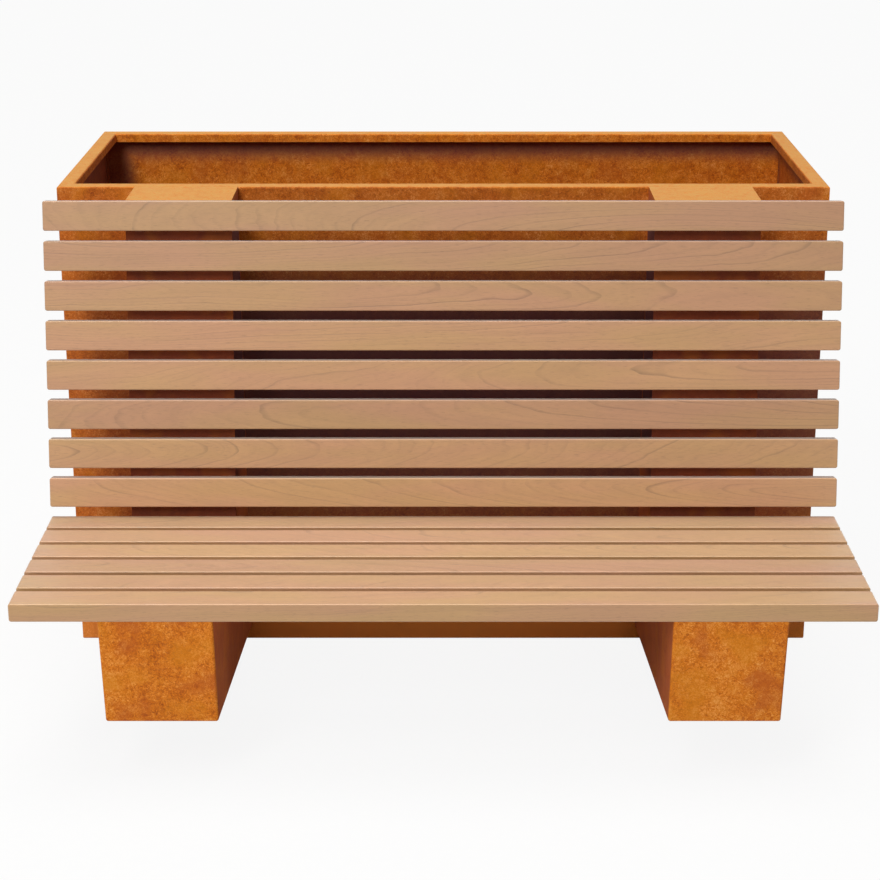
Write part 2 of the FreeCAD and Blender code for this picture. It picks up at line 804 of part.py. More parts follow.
def washer_ring(name, outer, inner, thick):
    """Flat ring on Z = 0."""
    body = doc.addObject("PartDesign::Body", name)
    sketch = new_sketch(body, "XY_Plane", "ring")
    circle(sketch, (0, 0), outer)
    circle(sketch, (0, 0), inner)
    pad(body, sketch, thick)
    return body


def hexagon_nut():
    """Weld nut standing on Z = 0."""
    body = doc.addObject("PartDesign::Body", "weld_nut")
    sketch = new_sketch(body, "XY_Plane", "ring")
    hexagon(sketch, "dims.bolt_head_flats")
    circle(sketch, (0, 0), "dims.bolt_shank")
    pad(body, sketch, "dims.bolt_nut_thick")
    return body


def bracket_bolts():
    """Bolts from inside the planter through channel, wall and wall plate into weld nuts."""
    grip = "(2 * dims.sheet + dims.wall_plate)"
    length = "%s + dims.bolt_washer_thick + dims.bolt_nut_thick + dims.bolt_spare_thread" % grip
    bolt = fastener("wall_bolt", "dims.bolt_head_flats", "dims.bolt_head_thick",
                    shank="dims.bolt_shank", length=length)
    ring = washer_ring("bolt_ring", "dims.bolt_washer", "dims.bolt_shank", "dims.bolt_washer_thick")
    nut = hexagon_nut()
    towards_sitter = FreeCAD.Rotation(FreeCAD.Vector(1, 0, 0), 90)
    web_face = number("%s + 2 * dims.sheet" % WALL_FRONT)
    under_head = web_face + number("dims.bolt_washer_thick")
    nut_face = number(WALL_PLATE_FACE)
    depths = {"bracket_bolts": (bolt, under_head), "bracket_bolt_washers": (ring, under_head),
              "bracket_weld_nuts": (nut, nut_face)}
    for label, (pattern, y) in depths.items():
        places = []
        for side in SIDES:
            for sign in (-1, 1):
                for row in range(BOLT_ROWS):
                    x = number("%s + %d * dims.bolt_half_spacing" % (bracket_x(side), sign))
                    point = FreeCAD.Vector(x, y, number(bolt_level(row)))
                    places.append(FreeCAD.Placement(point, towards_sitter))
        group(label, pattern, places)


def drain_bushes():
    """Flanged plastic bushes pressed into the drain holes of the floor."""
    body = doc.addObject("PartDesign::Body", "drain_bush")
    sketch = new_sketch(body, "XZ_Plane", "section")
    outer = "dims.drain_hole / 2"
    bore = "(dims.drain_hole / 2 - dims.bush_wall)"
    below = "(dims.bush_flange_thick - dims.bush_length)"
    outline(sketch, [
        (bore, below),
        (outer, below),
        (outer, 0),
        ("dims.bush_flange / 2", 0),
        ("dims.bush_flange / 2", "dims.bush_flange_thick"),
        (bore, "dims.bush_flange_thick"),
    ])
    turned = body.newObject("PartDesign::Revolution", "drain_bush_turned")
    turned.Profile = sketch
    turned.ReferenceAxis = (sketch, ["V_Axis"])
    turned.Angle = 360
    doc.recompute()
    middle = number(PLANTER_MIDDLE)
    places = []
    for x, y in drain_places():
        point = FreeCAD.Vector(number(x), number(y) + middle, number(FLOOR_TOP))
        places.append(FreeCAD.Placement(point, FreeCAD.Rotation()))
    group("drain_bushes", body, places)


# The whole object

planter_panels()
planter_floor()
for rail in range(BASE_RAILS):
    base_rail(rail)
for name in SIDES:
    wall_channels(name)
    bracket(name)
seat_slats()
back_slats()
slat_screws()
bracket_bolts()
drain_bushes()
doc.recompute()

for item in doc.Objects:
    if "Invalid" in item.State or "Error" in item.State:
        raise RuntimeError("%s could not be worked out: %s" % (item.Name, item.State))
for piece in pieces:
    if piece.Shape.isNull() or not piece.Shape.isValid():
        raise RuntimeError("%s has no valid shape" % piece.Label)
for piece in pieces:
    piece.Shape.exportStep("parts/%s.step" % piece.Label)
print("%d pieces written" % len(pieces))
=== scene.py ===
import json
import math
import random

import bmesh
import bpy
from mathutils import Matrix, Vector


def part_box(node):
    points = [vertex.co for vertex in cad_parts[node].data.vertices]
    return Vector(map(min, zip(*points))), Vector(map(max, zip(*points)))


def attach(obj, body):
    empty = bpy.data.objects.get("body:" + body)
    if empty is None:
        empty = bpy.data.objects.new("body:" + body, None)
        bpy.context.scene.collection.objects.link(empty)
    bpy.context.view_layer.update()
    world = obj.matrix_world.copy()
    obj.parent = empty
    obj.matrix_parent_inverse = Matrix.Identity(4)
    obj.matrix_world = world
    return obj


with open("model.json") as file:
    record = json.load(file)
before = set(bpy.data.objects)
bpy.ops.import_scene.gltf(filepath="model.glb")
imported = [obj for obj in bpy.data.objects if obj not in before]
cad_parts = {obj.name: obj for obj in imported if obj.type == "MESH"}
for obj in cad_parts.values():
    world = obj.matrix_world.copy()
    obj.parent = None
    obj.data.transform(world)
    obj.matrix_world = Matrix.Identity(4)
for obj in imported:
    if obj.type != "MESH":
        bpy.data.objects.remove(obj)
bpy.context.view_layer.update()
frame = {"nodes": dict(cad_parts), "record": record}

# Bench with planter. Metres; X along the bench, the sitter faces -Y, Z up. The CAD nodes stay as
# they are and get their materials here; weld beads are added as meshes of their own.

nodes = frame["nodes"]

MM = 0.001
SIDES = ("left", "right")
RECLINE = math.radians(10)
SHEET = 4 * MM
RIM_LIP = 22 * MM


def screen(red, green, blue):
    """Linear colour that a screen shows as these 8-bit values."""
    linear = []
    for value in (red, green, blue):
        share = value / 255
        linear.append(share / 12.92 if share <= 0.04045 else ((share + 0.055) / 1.055) ** 2.4)
    return (*linear, 1.0)


# Shader nodes

# Cosine between the true surface and one with rounded edges: off an edge, and well on it
OFF_EDGE = 0.99
ON_EDGE = 0.86


class Shader:
    """One material and the short forms that build its node tree."""

    def __init__(self, name):
        self.material = bpy.data.materials.new(name)
        self.material.use_nodes = True
        self.tree = self.material.node_tree
        self.tree.nodes.clear()

    def add(self, kind, links=(), **settings):
        """New node with its settings; links are pairs of input and what it gets."""
        node = self.tree.nodes.new(kind)
        for name, value in settings.items():
            setattr(node, name, value)
        for socket, value in links:
            self.feed(node.inputs[socket], value)
        return node

    def feed(self, socket, value):
        """Joins an output to a socket, or sets the socket's own value."""
        if isinstance(value, bpy.types.NodeSocket):
            self.tree.links.new(value, socket)
        else:
            socket.default_value = value

    def place(self):
        """Position in the bench's own frame, in metres."""
        return self.add("ShaderNodeTexCoord").outputs["Object"]

    def facing(self):
        """Parts of the direction that the surface faces."""
        return self.split(self.add("ShaderNodeNewGeometry").outputs["Normal"])

    def local(self, middle, tilt=0.0):
        """Position in the frame of a piece that lies at a middle point, turned about X."""
        links = [("Vector", self.place()), ("Location", middle), ("Rotation", (tilt, 0, 0))]
        return self.add("ShaderNodeMapping", links, vector_type="TEXTURE").outputs[0]

    def stretched(self, vector, scale, shift=(0, 0, 0)):
        """Vector scaled axis by axis and shifted."""
        links = [("Vector", vector), ("Location", shift), ("Scale", scale)]
        return self.add("ShaderNodeMapping", links).outputs[0]

    def split(self, vector):
        """The three parts of a vector."""
        return self.add("ShaderNodeSeparateXYZ", [(0, vector)]).outputs

    def join(self, x, y, z):
        """Vector made of three parts."""
        return self.add("ShaderNodeCombineXYZ", [(0, x), (1, y), (2, z)]).outputs[0]

    def noise(self, vector, scale=1.0, detail=3.0, rough=0.5, distortion=0.0):
        """Fractal noise about one half."""
        links = [("Vector", vector), ("Scale", scale), ("Detail", detail),
                 ("Roughness", rough), ("Distortion", distortion)]
        return self.add("ShaderNodeTexNoise", links).outputs[0]

    def math(self, operation, first, second=0.0, third=0.0):
        """One arithmetic step."""
        links = [(0, first), (1, second), (2, third)]
        return self.add("ShaderNodeMath", links, operation=operation).outputs[0]

    def swing(self, value, amount, middle=0.0):
        """Noise carried to a middle value, plus or minus half the amount."""
        return self.math("MULTIPLY_ADD", value, amount, middle - amount / 2)

    def span(self, value, low, high, to_low=0.0, to_high=1.0):
        """Value carried from one range to another, smoothly and clamped."""
        links = [("Value", value), ("From Min", low), ("From Max", high),
                 ("To Min", to_low), ("To Max", to_high)]
        node = self.add("ShaderNodeMapRange", links, interpolation_type="SMOOTHSTEP")
        return node.outputs["Result"]

    def mix(self, share, first, second, blend="MIX"):
        """Two colours blended."""
        node = self.add("ShaderNodeMix", data_type="RGBA", blend_type=blend)
        self.feed(node.inputs[0], share)
        self.feed(node.inputs[6], first)
        self.feed(node.inputs[7], second)
        return node.outputs[2]

    def shade(self, colour, share):
        """Colour darkened or lightened by a plain factor."""
        grey = self.add("ShaderNodeCombineColor", [(0, share), (1, share), (2, share)])
        return self.mix(1.0, colour, grey.outputs[0], "MULTIPLY")

    def ramp(self, value, stops):
        """Colour ramp through pairs of position and colour."""
        node = self.add("ShaderNodeValToRGB", [("Fac", value)])
        elements = node.color_ramp.elements
        while len(elements) < len(stops):
            elements.new(0.5)
        for element, (position, colour) in zip(elements, stops):
            element.position = position
            element.color = colour
        return node.outputs["Color"]

    def edges(self, reach):
        """How much a point lies on a rounded or sharp edge, from 0 to 1."""
        rounded = self.add("ShaderNodeBevel", [("Radius", reach)], samples=4).outputs[0]
        normal = self.add("ShaderNodeNewGeometry").outputs["Normal"]
        links = [(0, rounded), (1, normal)]
        agree = self.add("ShaderNodeVectorMath", links, operation="DOT_PRODUCT").outputs["Value"]
        return self.span(agree, OFF_EDGE, ON_EDGE)

    def bump(self, height, distance):
        """Surface normal tipped by a height, where one stands for a distance in metres."""
        links = [("Height", height), ("Distance", distance)]
        return self.add("ShaderNodeBump", links).outputs[0]

    def finish(self, colour, roughness, normal, metallic=0.0, specular=0.5, sheen=0.0):
        """Principled surface of the material; sheen is the pale look of fine dust or fibres."""
        links = [("Base Color", colour), ("Roughness", roughness), ("Metallic", metallic),
                 ("Normal", normal), ("Specular IOR Level", specular), ("Sheen Weight", sheen),
                 ("Sheen Roughness", 0.4)]
        surface = self.add("ShaderNodeBsdfPrincipled", links)
        self.add("ShaderNodeOutputMaterial", [("Surface", surface.outputs[0])])
        return self.material


def share_of(shader, factors):
    """Product of several shares."""
    result = factors[0]
    for factor in factors[1:]:
        result = shader.math("MULTIPLY", result, factor)
    return result


def dress(piece, material):
    """Gives a piece one material."""
    piece.data.materials.clear()
    piece.data.materials.append(material)


def object_of(mesh, name):
    """Object in the scene, made of a finished bmesh."""
    data = bpy.data.meshes.new(name)
    mesh.to_mesh(data)
    mesh.free()
    item = bpy.data.objects.new(name, data)
    bpy.context.scene.collection.objects.link(item)
    return item


# Wood

TAN = screen(183, 142, 94)
PINK = screen(185, 137, 101)
WORN_WOOD = screen(206, 170, 130)

# Lightness and warmth of each slat, from the front of the seat and from the foot of the back; the
# back slats also grow darker towards the top, a painted gradient of light
SEAT_WOOD = ((1.03, 0.3), (1.0, 0.35), (0.94, 0.6), (1.02, 0.3), (0.99, 0.45), (0.98, 0.45))
BACK_TONE_AND_PAINTED_LIGHT = ((1.1, 0.5), (1.01, 0.4), (0.91, 0.55), (1.01, 0.6), (1.01, 0.6), (0.94, 0.6),
             (0.88, 0.6), (0.88, 0.65))
WOOD_SEED = 20
BOARD_APART = 50

# How often each pattern of the wood repeats in a metre: along the slat, across it, into it
WANDER = (1.6, 6, 6)
RIPPLE = (9, 24, 24)
FADING = (5, 30, 30)
STREAKS = (3, 170, 30)
FIBRES = (11, 520, 130)
PORES = (55, 900, 900)
CLOUDS = (2.4, 13, 13)
BANDS = (4.5, 5, 5)

# Growth rings: their width, how far off the slat's middle the pith lies, and how much it drifts
# sideways for each metre along the slat
RING_WIDTH = (4 * MM, 6 * MM)
PITH_ACROSS = (20 * MM, 70 * MM)
PITH_DEEP = (65 * MM, 120 * MM)
DRIFT_ACROSS = 0.08
DRIFT_DEEP = (0.04, 0.12)
WANDER_REACH = 36 * MM
RIPPLE_REACH = 7 * MM

# Dark line in each ring: where it grows and where it ends within the ring's width, how strong the
# faintest is, what chance adds, and how seldom a line is strong
LINE_RISE = (0.68, 0.94)
LINE_END = (1.0, 0.96)
LINE_FAINTEST = 0.15
LINE_CHANCE = 0.85
LINE_RARITY = 3.0

# How much each pattern darkens or lightens the wood
WOOD_LIGHT = 0.97
LINE_DEPTH = 0.34
BAND_DEPTH = 0.1
STREAK_DEPTH = 0.24
FIBRE_DEPTH = 0.12
END_GRAIN_DEPTH = 0.28
WORN_WOOD_SHARE = 0.15

# Edges and relief of the slats, and how far along X a face looks where it is end grain
WOOD_EDGE = 2.5 * MM
WOOD_RELIEF = 0.12 * MM
END_FACE = (0.6, 0.95)


def pith_distance(shader, place, shift, draw):
    """Distance from the tree's pith, which runs aslant past the slat and bends a little."""
    along, across, deep = shader.split(place)
    wander = shader.noise(shader.stretched(place, WANDER, shift), detail=1.0)
    ripple = shader.noise(shader.stretched(place, RIPPLE, shift), detail=2.0)
    bend = shader.math("ADD", shader.swing(wander, WANDER_REACH),
                       shader.swing(ripple, RIPPLE_REACH))
    offsets = (draw.choice((-1, 1)) * draw.uniform(*PITH_ACROSS),
               draw.choice((-1, 1)) * draw.uniform(*PITH_DEEP))
    drifts = (draw.uniform(-DRIFT_ACROSS, DRIFT_ACROSS),
              draw.choice((-1, 1)) * draw.uniform(*DRIFT_DEEP))
    squares = []
    for axis, offset, drift in zip((across, deep), offsets, drifts):
        value = shader.math("MULTIPLY_ADD", along, drift, offset)
        value = shader.math("ADD", value, axis)
        value = shader.math("ADD", value, bend)
        squares.append(shader.math("MULTIPLY", value, value))
    return shader.math("SQRT", shader.math("ADD", *squares))


def slat_wood(name, seed, light, warmth):
    """Planed hardwood: growth rings, fibres that follow them, pores, clouds and end grain.

    light scales the colour, warmth moves it from tan towards pink.
    """
    draw = random.Random(seed)
    low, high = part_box(name)
    tilt = math.pi / 2 - RECLINE if name.startswith("back") else 0.0
    shader = Shader("wood_" + name)
    place = shader.local(tuple((low + high) / 2), tilt)
    shift = tuple(draw.uniform(-BOARD_APART, BOARD_APART) for _ in range(3))
    radius = pith_distance(shader, place, shift, draw)
    along, across, deep = shader.split(place)

    rings = shader.math("DIVIDE", radius, draw.uniform(*RING_WIDTH))
    turn = shader.math("FRACT", rings)
    ring_number = shader.math("FLOOR", rings)
    chance = shader.add("ShaderNodeTexWhiteNoise", [("W", ring_number)], noise_dimensions="1D")
    strength = shader.math("POWER", chance.outputs["Value"], LINE_RARITY)
    strength = shader.math("MULTIPLY_ADD", strength, LINE_CHANCE, LINE_FAINTEST)
    rise = shader.span(turn, *LINE_RISE)
    fall = shader.span(turn, *LINE_END)
    line = share_of(shader, [rise, fall, strength])
    fading = shader.noise(shader.stretched(place, FADING, shift), detail=1.0)
    line = shader.math("MULTIPLY", line, shader.span(fading, 0.3, 0.65, 0.3, 1.0))

    grown = shader.join(along, radius, across)
    streaks = shader.noise(shader.stretched(grown, STREAKS, shift), detail=3.0, rough=0.6)
    fibres = shader.noise(shader.stretched(grown, FIBRES, shift), detail=2.0, rough=0.6)
    pores = shader.noise(shader.stretched(place, PORES, shift), detail=1.0)
    clouds = shader.noise(shader.stretched(place, CLOUDS, shift), detail=2.0)
    bands = shader.noise(shader.stretched(place, BANDS, shift), detail=1.0)

    pinkness = shader.math("ADD", shader.span(clouds, 0.28, 0.72), warmth - 0.5)
    pinkness = shader.add("ShaderNodeClamp", [(0, pinkness)]).outputs[0]
    colour = shader.mix(pinkness, TAN, PINK)
    ring_shade = shader.math("MULTIPLY_ADD", line, -LINE_DEPTH, light * WOOD_LIGHT)
    colour = shader.shade(colour, ring_shade)
    colour = shader.shade(colour, shader.swing(bands, BAND_DEPTH, 1.0))
    colour = shader.shade(colour, shader.swing(streaks, STREAK_DEPTH, 1.0))
    colour = shader.shade(colour, shader.swing(fibres, FIBRE_DEPTH, 1.0))
    colour = shader.shade(colour, shader.span(pores, 0.3, 0.4, 0.8, 1.0))

    sideways = shader.facing()[0]
    end_grain = shader.span(shader.math("ABSOLUTE", sideways), *END_FACE)
    end_shade = shader.math("MULTIPLY_ADD", end_grain, -END_GRAIN_DEPTH, 1.0)
    colour = shader.shade(colour, end_shade)
    worn = shader.edges(WOOD_EDGE)
    colour = shader.mix(shader.math("MULTIPLY", worn, WORN_WOOD_SHARE), colour, WORN_WOOD)

    height = shader.math("MULTIPLY_ADD", pores, 0.6, shader.math("MULTIPLY", line, -0.8))
    height = shader.math("MULTIPLY_ADD", fibres, 0.5, height)
    bump = shader.bump(height, WOOD_RELIEF)
    roughness = shader.swing(streaks, 0.16, 0.45)
    roughness = shader.math("MULTIPLY_ADD", end_grain, 0.2, roughness)
    return shader.finish(colour, roughness, bump, specular=0.8, sheen=1.0)


# Weathering steel

OCHRE = screen(212, 128, 18)
RED_BROWN = screen(182, 86, 26)
DUST_AND_SHEEN = screen(188, 140, 74)
# Colour of painted shade
PAINTED_SHADE = screen(96, 60, 66)
# Colour of painted bounce light
PAINTED_BOUNCE_LIGHT = screen(242, 148, 66)
RUST_SEED = 7

# Dark, middle, bright and pale colour of the rust on faces in the open, on the planter's walls,
# on the brackets' sides, and on the columns' fronts behind the slats, darkened there as painted
# shade
OPEN_RUST = ((154, 70, 12), (200, 106, 17), (220, 126, 27), (242, 168, 84))
WALL_RUST = ((140, 65, 14), (181, 94, 21), (198, 108, 30), (222, 148, 80))
SIDE_RUST = ((144, 68, 34), (176, 90, 48), (196, 106, 56), (208, 126, 72))
SHADED_COLUMN_RUST = ((98, 44, 28), (120, 56, 34), (134, 66, 40), (150, 82, 52))

# How often each pattern of the rust repeats in a metre
PATCHES = 5
HUES = 12
MOTTLE = 42
CURLS = 125
SPECKLE = 185
GRIT = 900
RAIN_RUNS = (34, 34, 1.6)

# How much each pattern moves the rust along its ramp of tones, and where these lie on it
PATCH_SWING = 0.5
MOTTLE_SWING = 0.6
SPECKLE_SWING = 1.4
CURL_SHARE = 0.6
TONE_STOPS = (0.15, 0.42, 0.6, 0.9)

# Edges and relief of the plates, and how far up a face looks where pale dust and a painted sheen lie
# on it
STEEL_EDGE = 3 * MM
STEEL_RELIEF = 0.25 * MM
TOP_FACE = (0.6, 0.95)
PATTERN_APART = 20


def weathering_steel(name, seed, tones, grain=1.0, hues=0.6, streak=0.0, paint_light_and_shade=None):
    """Rust patina: broad patches, mottling, a fine curly speckle, rain marks, pale dust and a
    painted sheen on top.

    tones are the dark, middle, bright and pale colours of the rust. grain scales the speckle, hues
    the yellow and red patches and streak the rain marks. The last argument, if given, paints shade
    and bounced light onto the colour by place.
    """
    draw = random.Random(seed)
    colours = [screen(*tone) for tone in tones]
    dark, _, bright, pale = colours
    shader = Shader(name)
    shift = tuple(draw.uniform(-PATTERN_APART, PATTERN_APART) for _ in range(3))
    place = shader.stretched(shader.place(), (1, 1, 1), shift)

    patches = shader.noise(place, PATCHES, detail=3.0, rough=0.55)
    mottle = shader.noise(place, MOTTLE, detail=3.0, rough=0.6)
    speckle = shader.noise(place, SPECKLE, detail=2.5, rough=0.6, distortion=1.2)
    curls = shader.noise(place, CURLS, detail=1.0, distortion=1.8)
    hue = shader.noise(place, HUES, detail=2.0)
    grit = shader.noise(place, GRIT, detail=2.0)

    tone = shader.swing(patches, PATCH_SWING, 0.5)
    tone = shader.math("ADD", tone, shader.swing(mottle, MOTTLE_SWING * grain))
    tone = shader.math("ADD", tone, shader.swing(speckle, SPECKLE_SWING * grain))
    colour = shader.ramp(tone, list(zip(TONE_STOPS, colours)))
    for colour_patch, low, high in ((OCHRE, 0.48, 0.68), (RED_BROWN, 0.48, 0.3)):
        share = shader.math("MULTIPLY", shader.span(hue, low, high), hues * grain)
        colour = shader.mix(share, colour, colour_patch)
    from_curl = shader.math("ABSOLUTE", shader.math("SUBTRACT", curls, 0.5))
    curl = shader.math("MULTIPLY", shader.span(from_curl, 0.04, 0.0), shader.span(mottle, 0.3, 0.7))
    colour = shader.mix(shader.math("MULTIPLY", curl, CURL_SHARE * grain), colour, pale)
    if streak:
        runs = shader.noise(shader.stretched(place, RAIN_RUNS), detail=3.0, rough=0.55)
        run_mask = shader.math("MULTIPLY", shader.span(runs, 0.52, 0.72), streak)
        colour = shader.mix(run_mask, colour, dark)
    # Painted shade and painted light, by place
    if paint_light_and_shade:
        colour = paint_light_and_shade(shader, colour)
    # Up-facing faces turn pale: real dust, and a painted sheen
    upwards = shader.span(shader.facing()[2], *TOP_FACE)
    dust_and_sheen = shader.mix(shader.span(speckle, 0.5, 0.3), DUST_AND_SHEEN, bright)
    dust = shader.math("MULTIPLY", upwards, shader.span(mottle, 0.35, 0.65, 0.75, 0.95))
    colour = shader.mix(dust, colour, dust_and_sheen)
    worn = shader.edges(STEEL_EDGE)
    worn = shader.math("MULTIPLY", worn, shader.span(mottle, 0.35, 0.6, 0.1, 0.3))
    colour = shader.mix(worn, colour, pale)

    height = shader.math("MULTIPLY_ADD", grit, 0.35, speckle)
    height = shader.math("MULTIPLY_ADD", curl, 0.5, height)
    bump = shader.bump(height, STEEL_RELIEF * grain)
    roughness = shader.swing(speckle, 0.2, 0.72)
    return shader.finish(colour, roughness, bump, specular=0.2)


# Painted shade, and painted bounce light, on the steel by place. Each pair of levels or distances,
# in metres, is where the painted colour starts to show and where it is full; each pair of shares is
# how much of it shows at these two.
SKIN = (1 * MM, 3 * MM)
LIP_SHADOW = (72 * MM, 20 * MM)
LIP_SHADOW_SHARES = (0, 0.75)
LEFT_WALL_SHADOW = (100 * MM, 50 * MM)
LEFT_WALL_SHADOW_SHARES = (0, 0.65)
SLATS_TOP = (1.06, 0.8)
SLATS_FOOT = (0.05, 0.62)
SLATS_FROM_LEFT = (-0.1, 0.5)
SLATS_FROM_RIGHT = (0.1, 0.3)
SLATS_RIGHT_SHARES = (0.7, 0.9)
PAINTED_BOUNCE_LIGHT_TOP = (0.12, 0.04)
BETWEEN_ARMS = (0.5, 0.42)
BETWEEN_ARMS_SHARES = (0.45, 1.0)
COLUMN_FOOT = (0.46, 0.56)
COLUMN_FOOT_SHARES = (0, 0.92)
COLUMN_TOP = (1.14, 1.08)


def wall_painted_light_and_shade(shader, colour):
    """Painted shade on the planter walls, inside and behind the back rest, and painted bounce light
    low on the front between the arms.
    """
    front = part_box("planter_front_panel")[0]
    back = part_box("planter_back_panel")[1]
    half = back.x
    lip_foot = back.z - RIM_LIP
    x, y, z = shader.split(shader.place())

    def depth(value, face, depths, shares=(0.0, 1.0)):
        """Share that grows with the depth behind a face that looks along its axis."""
        return shader.span(value, face - depths[0], face - depths[1], *shares)

    from_middle = shader.math("ABSOLUTE", x)
    within = share_of(shader, [
        depth(from_middle, half, SKIN),
        shader.span(y, front.y + SKIN[0], front.y + SKIN[1]),
        depth(y, back.y, SKIN),
        depth(z, lip_foot, SKIN)])
    # Painted shadow under the lip and beside the left end wall, inside the box
    lip_shadow = depth(z, lip_foot, LIP_SHADOW, LIP_SHADOW_SHARES)
    left_wall_shadow = shader.span(x, LEFT_WALL_SHADOW[0] - half, LEFT_WALL_SHADOW[1] - half, *LEFT_WALL_SHADOW_SHARES)
    inside = shader.math("MULTIPLY", within, shader.math("MAXIMUM", lip_shadow, left_wall_shadow))
    outside = shader.span(y, front.y + SKIN[1], front.y + SKIN[0])
    # Painted shade behind the back rest, fading towards the ends
    slats_shadow = share_of(shader, [
        outside,
        shader.span(z, *SLATS_TOP),
        shader.span(z, *SLATS_FOOT),
        shader.span(x, SLATS_FROM_LEFT[0] - half, SLATS_FROM_LEFT[1] - half),
        depth(x, half, SLATS_FROM_RIGHT, SLATS_RIGHT_SHARES)])
    # Painted bounce light: a paler strip low on the front between the arms
    bounce_light = share_of(shader, [
        outside,
        shader.span(z, *PAINTED_BOUNCE_LIGHT_TOP),
        shader.span(from_middle, *BETWEEN_ARMS, *BETWEEN_ARMS_SHARES)])
    colour = shader.mix(bounce_light, colour, PAINTED_BOUNCE_LIGHT)
    colour = shader.mix(inside, colour, PAINTED_SHADE)
    return shader.mix(slats_shadow, colour, PAINTED_SHADE)


def column_painted_shade(shader, colour):
    """Painted shade on the brackets' inner sides where they stand behind the back rest."""
    height = shader.split(shader.place())[2]
    shade_share = share_of(shader, [
        shader.span(height, *COLUMN_FOOT, *COLUMN_FOOT_SHARES),
        shader.span(height, *COLUMN_TOP)])
    return shader.mix(shade_share, colour, PAINTED_SHADE)


# Small parts and weld metal

def weld_metal():
    """Weld beads, rusted darker than the plates."""
    shader = Shader("weld_metal")
    place = shader.place()
    scale = shader.noise(place, 230, detail=3.0, rough=0.6)
    patches = shader.noise(place, 18, detail=2.0)
    tone = shader.math("MULTIPLY_ADD", scale, 0.6, shader.math("MULTIPLY", patches, 0.4))
    colour = shader.ramp(tone, [(0.3, screen(104, 50, 22)), (0.52, screen(140, 72, 28)),
                                (0.75, screen(176, 98, 40))])
    roughness = shader.math("MULTIPLY_ADD", scale, 0.3, 0.55)
    return shader.finish(colour, roughness, shader.bump(scale, 0.3 * MM), specular=0.3)


def stainless_steel():
    """Rolled stainless steel of the screws and bolts, with fine scratches and dull patches."""
    shader = Shader("stainless_steel")
    place = shader.place()
    scratches = shader.noise(shader.stretched(place, (2600, 300, 300)), detail=2.0)
    dull = shader.noise(place, 120, detail=3.0)
    tone = shader.math("MULTIPLY_ADD", scratches, 0.3, shader.math("MULTIPLY", dull, 0.7))
    colour = shader.ramp(tone, [(0.3, screen(150, 148, 145)), (0.65, screen(206, 204, 200))])
    roughness = shader.math("MULTIPLY_ADD", dull, 0.28, 0.2)
    return shader.finish(colour, roughness, shader.bump(scratches, 0.03 * MM), metallic=1.0)


def black_plastic():
    """Moulded plastic of the drain bushes, with a fine spark-eroded grain and dust."""
    shader = Shader("black_plastic")
    place = shader.place()
    grain = shader.noise(place, 1500, detail=2.0)
    dust = shader.noise(place, 60, detail=4.0)
    colour = shader.ramp(dust, [(0.42, screen(28, 28, 29)), (0.7, screen(74, 66, 58))])
    roughness = shader.math("MULTIPLY_ADD", grain, 0.25, 0.42)
    return shader.finish(colour, roughness, shader.bump(grain, 0.08 * MM))


# Weld beads. Pitch and legs are lengths, the ripple, throat, bulge, tip and taper shares of the leg.

BEAD_PITCH = 6 * MM
BEAD_STEPS = 3
BEAD_ANGLES = 4
BEAD_RIPPLE = 0.07
BEAD_THROAT = 0.82
BEAD_BULGE = 0.18
BEAD_TIP = 0.2
BEAD_TAPER = 1.4
CORNER_LEG = 4.5 * MM
STITCH_LEG = 4 * MM
STITCH_LENGTH = 40 * MM
STITCHES = 6


def bead(mesh, start, end, first, second, leg):
    """Adds a convex fillet bead along the corner from start to end.

    first and second point along the two plates, away from the corner.
    """
    start, end = Vector(start), Vector(end)
    first, second = Vector(first), Vector(second)
    length = (end - start).length
    direction = (end - start) / length
    count = max(6, round(length / BEAD_PITCH * BEAD_STEPS))
    rings = []
    for step in range(count + 1):
        travelled = length * step / count
        ripple = 1 + BEAD_RIPPLE * math.cos(2 * math.pi * step / BEAD_STEPS)
        to_tip = min(travelled, length - travelled)
        taper = math.sqrt(min(1.0, (to_tip + BEAD_TIP * leg) / (BEAD_TAPER * leg)))
        size = leg * ripple * taper
        centre = start + direction * travelled
        ring = [mesh.verts.new(centre)]
        for index in range(BEAD_ANGLES + 1):
            angle = math.pi / 2 * index / BEAD_ANGLES
            bulge = size * (BEAD_THROAT + BEAD_BULGE * abs(math.cos(2 * angle)))
            offset = (first * math.cos(angle) + second * math.sin(angle)) * bulge
            ring.append(mesh.verts.new(centre + offset))
        rings.append(ring)
    corners = len(rings[0])
    for ring, following in zip(rings, rings[1:]):
        for index in range(corners):
            after = (index + 1) % corners
            mesh.faces.new((ring[index], ring[after], following[after], following[index]))
    mesh.faces.new(rings[0][::-1])
    mesh.faces.new(rings[-1])


def weld_piece(name, beads, leg, material):
    """One piece made of several beads."""
    mesh = bmesh.new()
    for start, end, first, second in beads:
        bead(mesh, start, end, first, second, leg)
    bmesh.ops.recalc_face_normals(mesh, faces=mesh.faces)
    piece = object_of(mesh, name)
    piece.data.shade_smooth()
    dress(piece, material)
    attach(piece, "root")


def corner_welds(material):
    """Upright seams in the four inner corners of the box, from the floor to the lip."""
    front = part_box("planter_front_panel")[0].y + SHEET
    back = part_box("planter_back_panel")[1].y - SHEET
    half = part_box("planter_right_panel")[1].x - SHEET
    floor_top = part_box("planter_floor")[1].z
    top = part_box("planter_front_panel")[1].z - 2 * SHEET
    beads = []
    for sign in (-1, 1):
        for y, inwards in ((front, 1), (back, -1)):
            start = (sign * half, y, floor_top)
            end = (sign * half, y, top)
            beads.append((start, end, (-sign, 0, 0), (0, inwards, 0)))
    weld_piece("corner_welds", beads, CORNER_LEG, material)


